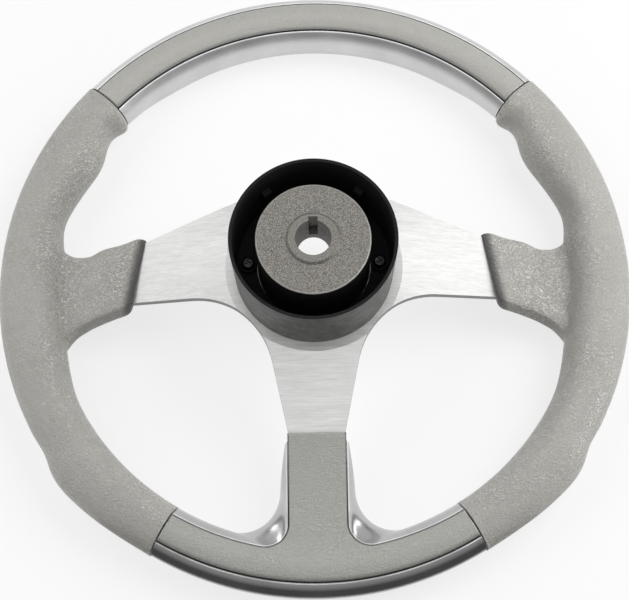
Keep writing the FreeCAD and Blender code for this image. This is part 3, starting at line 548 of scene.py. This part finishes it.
WHITE = (1, 1, 1, 1)
FLOOR_SIZE = 8.0
FLOOR_DROP = 0.0003
FLOOR_COLOUR = (0.85, 0.85, 0.85, 1.0)
FLOOR_GLOW = 0.76
WORLD_FILL = 0.1
WORLD_SHOWN = 0.68

# The card reaches this far to each side. Its edges are radius and height, its shades height and strength.

CARD_SPREAD = 42.0
CARD_STEPS = 24
CARD_EDGES = ((0.183, 0.0), (0.76, 0.5))
CARD_TOP = 0.25
CARD_SHADES = ((0.0012, 0.37), (0.004, 0.09), (0.018, 0.09), (0.029, 0.31), (0.08, 0.46), (0.16, 0.68))


def seen_ray(tree):
    """One for rays from the camera and for reflected and refracted rays."""
    path = add(tree, "LightPath").outputs
    seen = maths(tree, "MAXIMUM", path["Is Camera Ray"], path["Is Glossy Ray"])
    return maths(tree, "MAXIMUM", seen, path["Is Transmission Ray"])


def set_surface(tree, output):
    """Shows another shader's output in place of the main shader."""
    tree.links.new(output, tree.nodes["Material Output"].inputs["Surface"])


def add_floor():
    """A pale floor that takes the wheel's shadow and glows towards the camera and in reflections."""
    bpy.ops.mesh.primitive_plane_add(size=FLOOR_SIZE, location=(0, 0, -FLOOR_DROP))
    floor = bpy.context.object
    floor.name = "floor"
    made, tree, shader = new_material("floor")
    set_shader(tree, shader, colour=FLOOR_COLOUR, roughness=0.9, specular=0.0)
    glow = add(tree, "Emission", {"Color": WHITE, "Strength": 1.0})
    part = times(tree, seen_ray(tree), FLOOR_GLOW)
    blend = add(tree, "MixShader", {0: part, 1: shader.outputs["BSDF"], 2: glow.outputs["Emission"]})
    set_surface(tree, blend.outputs["Shader"])
    floor.data.materials.append(made)


def card_mesh():
    """A strip round the front that leans outwards."""
    vertices = []
    for index in range(CARD_STEPS + 1):
        turn = math.radians(CARD_SPREAD) * (2 * index / CARD_STEPS - 1)
        for radius, height in CARD_EDGES:
            vertices.append((radius * math.sin(turn), -radius * math.cos(turn), height))
    faces = [(2 * index, 2 * index + 2, 2 * index + 3, 2 * index + 1) for index in range(CARD_STEPS)]
    mesh = bpy.data.meshes.new("dark_card")
    mesh.from_pydata(vertices, [], faces)
    return mesh


def add_dark_card():
    """A card in front of the wheel, dark near the floor, that only reflections show."""
    mesh = card_mesh()
    card = add_object("dark_card", mesh)
    made, tree, _ = new_material("dark_card")
    ramp = add(tree, "ValToRGB", {"Fac": remap(tree, sides(tree)[2], (0.0, CARD_TOP))})
    elements = ramp.color_ramp.elements
    elements.remove(elements[-1])
    for height, shade in CARD_SHADES:
        elements.new(height / CARD_TOP).color = (*grey(shade), 1.0)
    elements[0].color = elements[1].color
    glow = add(tree, "Emission", {"Color": ramp.outputs["Color"], "Strength": 1.0})
    set_surface(tree, glow.outputs["Emission"])
    mesh.materials.append(made)
    card.visible_camera = False
    card.visible_diffuse = False
    card.visible_shadow = False


def add_world():
    """A weak fill from every side. The camera and reflections see it as a pale room instead."""
    world = bpy.data.worlds.new("studio")
    world.use_nodes = True
    tree = world.node_tree
    background = tree.nodes["Background"]
    strength = remap(tree, seen_ray(tree), RISING, (WORLD_FILL, WORLD_SHOWN))
    fill(tree, background.inputs["Color"], WHITE)
    fill(tree, background.inputs["Strength"], strength)
    bpy.context.scene.world = world


# Lamps: name, azimuth, elevation, distance, width and height, watts
# The softboxes light the wheel and don't show. The others show in gloss only, as highlights.

SOFTBOXES = [
    ("softbox_right", 117, 47, 1.3, (0.9, 0.9), 13.0),
    ("softbox_left", -117, 47, 1.3, (0.9, 0.9), 6.2),
    ("softbox_right_low", 80, 25, 0.9, (0.5, 0.5), 2.3),
    ("softbox_left_low", -80, 25, 0.9, (0.5, 0.5), 2.3),
]
HIGHLIGHTS = [
    ("sheen_right", 121, 40, 1.3, (0.7, 0.7), 2.2),
    ("sheen_left", -118, 40, 1.3, (0.7, 0.7), 1.5),
    ("sheen_front", 0, 67, 1.3, (0.7, 0.7), 0.9),
    ("sheen_back", 180, 70, 1.3, (0.7, 0.7), 1.6),
    ("glint_ridge", 84, 17, 1.3, (0.5, 0.26), 4.5),
    ("glint_corner_left", -138, 8, 1.3, (0.26, 0.18), 0.46),
    ("glint_corner_right", 128, 7, 1.3, (0.26, 0.18), 0.48),
]


def add_lamp(name, azimuth, elevation, distance, size, power, lights):
    """A rectangular lamp that faces the wheel, and either lights it or shows in its gloss."""
    back = towards(azimuth, elevation)
    data = bpy.data.lights.new(name, "AREA")
    data.shape = "RECTANGLE"
    data.size, data.size_y = size
    data.energy = power
    lamp = add_object(name, data)
    lamp.rotation_mode = "QUATERNION"
    lamp.rotation_quaternion = (-back).to_track_quat("-Z", "Y")
    lamp.location = back * distance
    lamp.visible_diffuse = lights
    lamp.visible_glossy = not lights


# Making

add_camera()
add_floor()
add_dark_card()
add_world()
for lamp in SOFTBOXES:
    add_lamp(*lamp, lights=True)
for lamp in HIGHLIGHTS:
    add_lamp(*lamp, lights=False)

# Each material's light colour comes before its dark one. Margins are stem, and the inner and outer runs of
# painted shade.

grip_skin = leather(
    "grip_leather", (179, 177, 171), (161, 159, 154), depth=0.0007, shine=0.27, wear_and_highlight=hand_wear_and_highlight, edge=wing_edge
)
upper_skin = leather(
    "upper_cover_leather", (172, 171, 166), (162, 161, 156), depth=0.0002, margins=(False, 0.0022, 0.0006)
)
lower_skin = leather(
    "lower_cover_leather", (169, 170, 164), (154, 155, 149), depth=0.0004, margins=(True, 0.001, 0.0027)
)
sheet = brushed_metal("brushed_aluminium", (236, 237, 236), (208, 208, 206), edge=(150, 150, 150), shine=0.46)
satin = plated("satin_plating", grey(216), grey(198), shine=0.32, stem=False)
polish = plated("polished_plating", grey(200), grey(182), shine=0.16, stem=True)
steel = plated("steel_rod", grey(150), grey(120), shine=0.35)
black_steel = blackened_steel("blackened_screw", (70, 70, 72), (18, 18, 19), shine=0.3)

dress(grip_skin, "grip_left", "grip_right")
dress(upper_skin, "upper_rear_cover")
dress(lower_skin, "lower_rear_cover")
dress(sheet, "spoke_plate")
dress(satin, "upper_front_shell")
dress(polish, "lower_front_shell")
dress(steel, "rim_rod")
dress(cast_hub("cast_hub"), "hub_body")
dress(collar_paint("collar_black"), "collar")
dress(black_steel, "hub_screws", "collar_screws")

bpy.context.scene.view_settings.view_transform = "Standard"
